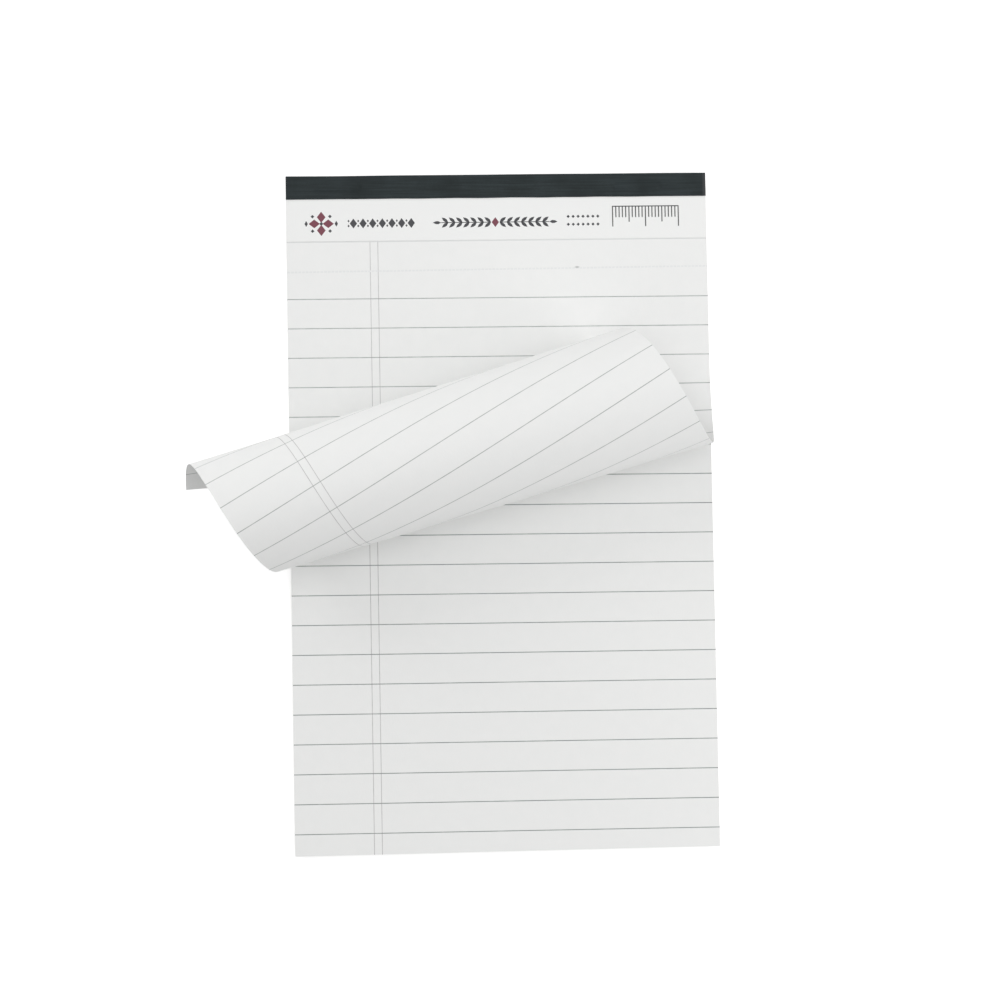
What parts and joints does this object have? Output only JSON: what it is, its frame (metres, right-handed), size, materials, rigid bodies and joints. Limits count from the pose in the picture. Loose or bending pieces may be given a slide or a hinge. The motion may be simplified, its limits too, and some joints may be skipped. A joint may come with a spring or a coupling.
{
  "type": "legal pad",
  "caption": "Stapled pad of ruled sheets on chipboard, taped over the head, its top sheet rolled up diagonally and hanging out past the left side.",
  "frame": {"origin": "centre of the backing board's underside", "axes": "+X to the right across the page, +Y up the page towards the taped head, +Z out of the page"},
  "size_m": [0.1583, 0.2034, 0.0405],
  "materials": {
    "chipboard": "matte grey-brown chipboard",
    "page_paper": "matte uncoated white paper",
    "leaf_paper": "matte uncoated white paper",
    "strip_paper": "smooth white paper",
    "black_tape": "matte black paper tape",
    "staple_wire": "bright steel wire"
  },
  "bodies": {
    "root": {"backing_board": "chipboard", "sheet_block": "page_paper", "curled_sheet": "leaf_paper", "header_strip": "strip_paper", "binding_tape": "black_tape", "staple_left": "staple_wire", "staple_right": "staple_wire"}
  },
  "joints": []
}
